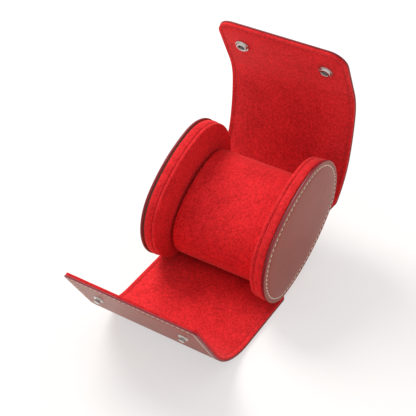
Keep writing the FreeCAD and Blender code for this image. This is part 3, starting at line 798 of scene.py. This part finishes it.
def thread_ends(row, kind):
    """Left-hand twin of a right-hand row of thread, both fixed to the case."""
    for each in (row, other_side(row, f"left_{kind}")):
        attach(each, "case_body")


places = []
seam = oval_line(oval_arcs(WALL_CENTRE, WALL_OVAL, PANEL_STITCH_INSET, PANEL_TRIM))
for (y, z), run in spaced(seam, PANEL_STITCH_PITCH):
    slanted = Matrix.Rotation(PANEL_STITCH_SLANT, 3, "X") @ Vector((0, run.x, run.y))
    places.append((Vector((PANEL_X[1] - PANEL_STITCH_SINK, y, z)) * MM, slanted, Vector((1, 0, 0))))
thread_ends(sew("right_panel_thread", stitch, places, cream_thread), "panel_thread")
bpy.data.objects.remove(stitch)

# Padded bands and inner discs
# Suede over foam, in two pieces that meet in a sewn seam: a band round each end wall,
# with a foot down to the rising lining behind, and a disc that faces the cushion.

BAND_X = (35.2, 40.8)
DISC_X = (32.6, 35.2)
FOOT_FROM = FLAT_ZERO - 1.64
FOOT_TO = FLAT_ZERO + 46.4
FOOT_X = (35.3, 38.9)
FOOT_SINK = 0.02
FOOT_STEPS = 24
BAND_INSET = 0.55
BAND_INNER_ROUND = 1.0
BAND_OUTER_ROUND = 0.9
BAND_CROWN = ((37.0, 1.003), (38.0, 1.0045), (39.0, 1.003))
DISC_INSET = 0.7
DISC_RIM = 1.5
DISC_PUFFS = ((0.88, -0.12), (0.80, -0.08))
DISC_INNER_ROUND = 1.2
DISC_SEAM_ROUND = 0.8


def crown_band(x, swelling):
    """Adds a ring at x round the solid in edit mode and swells it a little."""
    pick("FACE", lambda face: True)
    bpy.ops.mesh.bisect(plane_co=(x * MM, 0, 0), plane_no=(1, 0, 0))
    bpy.ops.transform.resize(
        value=(1, swelling, swelling), center_override=Vector((x, WALL_CENTRE.x, WALL_CENTRE.y)) * MM
    )


band = draw_oval("right_wall_band", BAND_X[0], oval_arcs(WALL_CENTRE, WALL_OVAL, inset=BAND_INSET))
thicken_oval(*BAND_X)
round_rim(BAND_X[0], BAND_INNER_ROUND, 4)
round_rim(BAND_X[1], BAND_OUTER_ROUND, 4)
for x, swelling in BAND_CROWN:
    crown_band(x, swelling)
band.data.materials.append(suede)
bpy.ops.object.mode_set(mode="OBJECT")
foot = first_point("right_foot", spot(FOOT_FROM, FOOT_X[0], FOOT_SINK))
for step in range(FOOT_STEPS):
    ends = [FOOT_FROM + (FOOT_TO - FOOT_FROM) * (step + i) / FOOT_STEPS for i in (0, 1)]
    draw(spot(ends[1], 0, FOOT_SINK) - spot(ends[0], 0, FOOT_SINK))
bpy.ops.mesh.select_all(action="SELECT")
bpy.ops.mesh.edge_face_add()
thicken_oval(*FOOT_X)
bpy.ops.object.mode_set(mode="OBJECT")
foot.data.materials.append(suede)
bpy.ops.object.select_all(action="DESELECT")
foot.select_set(True)
band.select_set(True)
bpy.context.view_layer.objects.active = band
bpy.ops.object.join()
for each in both_ends(band, "wall_band", "suede", "rim_band"):
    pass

disc = draw_oval("right_wall_disc", DISC_X[0], oval_arcs(WALL_CENTRE, WALL_OVAL, inset=DISC_INSET))
thicken_oval(*DISC_X)
face_at(DISC_X[0])
bpy.ops.mesh.inset(thickness=DISC_RIM * MM, depth=0)
for share, rise in DISC_PUFFS:
    puff(share, rise)
round_rim(DISC_X[0], DISC_INNER_ROUND, 5)
round_rim(DISC_X[1], DISC_SEAM_ROUND, 4)
disc.data.materials.append(suede)
for each in both_ends(disc, "wall_disc", "suede", "inner_disc"):
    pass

TICK_PITCH = 1.6
TICK_INSET = 1.05
TICK_LONG = 1.5
TICK_RADIUS = 0.2
tick = one_stitch("seam_tick", TICK_LONG, TICK_RADIUS)
places = []
seam = oval_line(oval_arcs(WALL_CENTRE, WALL_OVAL, TICK_INSET))
for (y, z), run in spaced(seam, TICK_PITCH):
    places.append((Vector((DISC_X[1], y, z)) * MM, Vector((1, 0, 0)), Vector((0, -run.y, run.x))))
thread_ends(sew("right_wall_thread", tick, places, red_thread), "wall_thread")
bpy.data.objects.remove(tick)

# Watch cushion
# A loose oval roll of foam in a suede sleeve, sewn to a flat cap at each end.
# It lies on the lining between the end walls, and a watch strap goes round it.

CUSHION_CENTRE = Vector((15.570, 32.301))
CUSHION_OVAL = (74.0, 51.0, 22.44)
CUSHION_X = 31.7
CUSHION_START_INSET = 0.7
CUSHION_START_X = CUSHION_X - CUSHION_START_INSET
CUSHION_END_ROUND = 2.4
SLEEVE_VOXEL = 1.5
SLEEVE_SWELL_LIMIT = 1.0
SLEEVE_PRESSURE = 4.0
SLEEVE_FRAMES = 20


def swell(piece):
    """Fills a closed sleeve: pressed out from inside as cloth, each point held within a limit."""
    rest = [v.co.copy() for v in piece.data.vertices]
    cloth = piece.modifiers.new("sleeve", "CLOTH")
    cloth.settings.use_pressure = True
    cloth.settings.uniform_pressure_force = SLEEVE_PRESSURE
    cloth.settings.effector_weights.gravity = 0
    scene = bpy.context.scene
    for number in range(1, SLEEVE_FRAMES + 1):
        scene.frame_set(number)
    bpy.context.view_layer.objects.active = piece
    bpy.ops.object.modifier_apply(modifier=cloth.name)
    scene.frame_set(1)
    limit = SLEEVE_SWELL_LIMIT * MM
    for vertex, start in zip(piece.data.vertices, rest):
        moved = vertex.co - start
        if moved.length > limit:
            vertex.co = start + moved * (limit / moved.length)


arcs = oval_arcs(CUSHION_CENTRE, CUSHION_OVAL, inset=CUSHION_START_INSET)
cushion = draw_oval("cushion_sleeve_suede", -CUSHION_START_X, arcs)
thicken_oval(-CUSHION_START_X, CUSHION_START_X)
round_rim(-CUSHION_START_X, CUSHION_END_ROUND, 4)
round_rim(CUSHION_START_X, CUSHION_END_ROUND, 4)
bpy.ops.object.mode_set(mode="OBJECT")
cushion.data.materials.append(suede)
finish_with(cushion, "REMESH", {"mode": "VOXEL", "voxel_size": SLEEVE_VOXEL * MM})
swell(cushion)
finish_with(cushion, "SUBSURF", {"levels": 1, "render_levels": 1})
bpy.ops.object.select_all(action="DESELECT")
cushion.select_set(True)
bpy.ops.object.shade_smooth()
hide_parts("cushion_sleeve", "cushion_foam", "left_cushion_cap", "right_cushion_cap")
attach(cushion, "case_body")

# Snap studs and sockets
# Turned brass with nickel plating: a stud in each corner of the front flap, clenched over a rivet,
# and in each corner of the back flap a socket with a spring ring, held by the shank of a domed cap.

NICKEL_TONES = ((0.46, 0.445, 0.42, 1), (0.62, 0.60, 0.57, 1))
nickel, shader, place = new_finish("nickel_plate", {"Metallic": 1.0})
tone = 0.5 + speckle(place, 900.0)
feed(shader, "Base Color", between(tone, *NICKEL_TONES))
feed(shader, "Roughness", 0.2 + speckle(place, 1400.0) * 0.16)
# Dark spring steel: the spring rings' own colour, and also laid on each socket's bore floor as painted
# shade in the hole.
STEEL_AND_PAINTED_SHADE_TONES = ((0.20, 0.195, 0.19, 1), (0.30, 0.29, 0.28, 1))
steel_and_painted_shade, shader, place = new_finish("spring_steel_and_painted_shade", {"Metallic": 1.0})
tone = 0.5 + speckle(place, 1500.0)
feed(shader, "Base Color", between(tone, *STEEL_AND_PAINTED_SHADE_TONES))
feed(shader, "Roughness", 0.3 + speckle(place, 1400.0) * 0.2)

SNAP_HALF = 28.1
STUD_SET = 22.5
SOCKET_SET = BACK_TIP + 19.594
SPRING_LEVEL = 1.5
SPRING_RADIUS = 2.15
SPRING_WIRE = 0.3
PAINTED_SHADE_BORE_REACH = 2.3
TURNED_STEPS = 44
TURNED_MERGE = 0.01
TURNED_ANGLE = math.radians(35)
# Radii and heights of each turned outline
STUD_SHAPE = (
    (0, 0), (3.2, 0), (3.2, 0.3), (3.08, 0.48), (2.8, 0.6), (1.7, 0.62), (1.5, 0.8), (1.5, 1.5),
    (1.62, 1.72), (1.95, 1.92), (2.0, 2.05), (1.98, 2.22), (1.8, 2.42), (1.4, 2.53), (0.8, 2.59), (0, 2.6),
)
SOCKET_SHAPE = (
    (0, 0), (4.6, 0), (4.6, 0.75), (4.5, 0.98), (4.25, 1.08), (4.0, 1.0), (3.8, 0.8), (3.6, 0.85),
    (3.48, 1.1), (3.44, 1.9), (3.3, 2.13), (3.05, 2.2), (2.75, 2.2), (2.52, 2.12), (2.4, 1.95),
    (2.4, 0.3), (0, 0.3),
)
CAP_SHAPE = (
    (0, -2.3), (1.4, -2.3), (1.4, 0), (5.0, 0), (5.0, 0.25), (4.93, 0.48), (4.7, 0.72), (4.3, 0.9),
    (3.4, 1.02), (2.0, 1.08), (0, 1.1),
)
SPRING_SHAPE = [
    (SPRING_RADIUS + SPRING_WIRE * math.cos(turn), SPRING_LEVEL + SPRING_WIRE * math.sin(turn))
    for turn in (math.tau * step / 10 for step in range(11))
]


def turned(name, shape, s, x, depth, way, finish):
    """Round piece that stands on the strip: its outline is drawn, then spun about its own axis."""
    angle = walk(s)[1]
    out = Vector((0, math.sin(angle), -math.cos(angle))) * way
    foot = spot(s, x, depth)
    places = [foot + (Vector((radius, 0, 0)) + out * height) * MM for radius, height in shape]
    piece = first_point(name, places[0])
    for low, high in zip(places, places[1:]):
        draw(high - low)
    bpy.ops.mesh.select_all(action="SELECT")
    bpy.ops.mesh.spin(steps=TURNED_STEPS, angle=math.tau, center=foot, axis=out)
    bpy.ops.mesh.select_all(action="SELECT")
    bpy.ops.mesh.remove_doubles(threshold=TURNED_MERGE * MM)
    bpy.ops.mesh.normals_make_consistent(inside=False)
    bpy.ops.object.mode_set(mode="OBJECT")
    bpy.ops.object.shade_smooth_by_angle(angle=TURNED_ANGLE)
    piece.data.materials.append(finish)
    return piece


for side, x in (("right", SNAP_HALF), ("left", -SNAP_HALF)):
    stud = turned(f"{side}_turned_stud", STUD_SHAPE, STUD_SET, x, STRIP_THICK, 1, nickel)
    socket = turned(f"{side}_turned_socket", SOCKET_SHAPE, SOCKET_SET, x, 0, -1, nickel)
    cap = turned(f"{side}_turned_cap", CAP_SHAPE, SOCKET_SET, x, STRIP_THICK, 1, nickel)
    spring = turned(f"{side}_spring_ring", SPRING_SHAPE, SOCKET_SET, x, 0, -1, steel_and_painted_shade)
    snap_parts = (
        (stud, "snap_stud", "front_tip", "nickel"),
        (socket, "snap_socket", "back_tip", "nickel"),
        (cap, "snap_cap", "back_tip", "nickel"),
        (spring, "socket_spring", "back_tip", "spring"),
    )
    # The faces of the bore floor take the dark steel colour: painted shade that darkens the socket's hole.
    socket.data.materials.append(steel_and_painted_shade)
    middle = spot(SOCKET_SET, x, 0)
    for face in socket.data.polygons:
        if (face.center - middle).length < PAINTED_SHADE_BORE_REACH * MM:
            face.material_index = 1
    for piece, node, body, slot in snap_parts:
        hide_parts(f"{side}_{node}")
        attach(piece, body)
    rivet = bpy.data.objects[f"{side}_stud_rivet"]
    rivet.data.materials.clear()
    rivet.data.materials.append(nickel)

# Stiffening boards
# Grey pressed board inside the flaps' ends, the base and the end walls, hidden by the leather and suede.
# It is glued to the back of the hide.

BOARD_TONES = ((0.10, 0.085, 0.07, 1), (0.20, 0.17, 0.14, 1))
board, shader, place = new_finish("pressed_board", {"Specular IOR Level": 0.2})
tone = 0.5 + speckle(place, 500.0, 4.0)
feed(shader, "Base Color", between(tone, *BOARD_TONES))
feed(shader, "Roughness", 0.85 + speckle(place, 800.0) * 0.2)
for name in ("front_tip_board", "back_tip_board", "base_board", "right_end_board", "left_end_board"):
    stiffener = bpy.data.objects[name]
    stiffener.data.materials.clear()
    stiffener.data.materials.append(board)
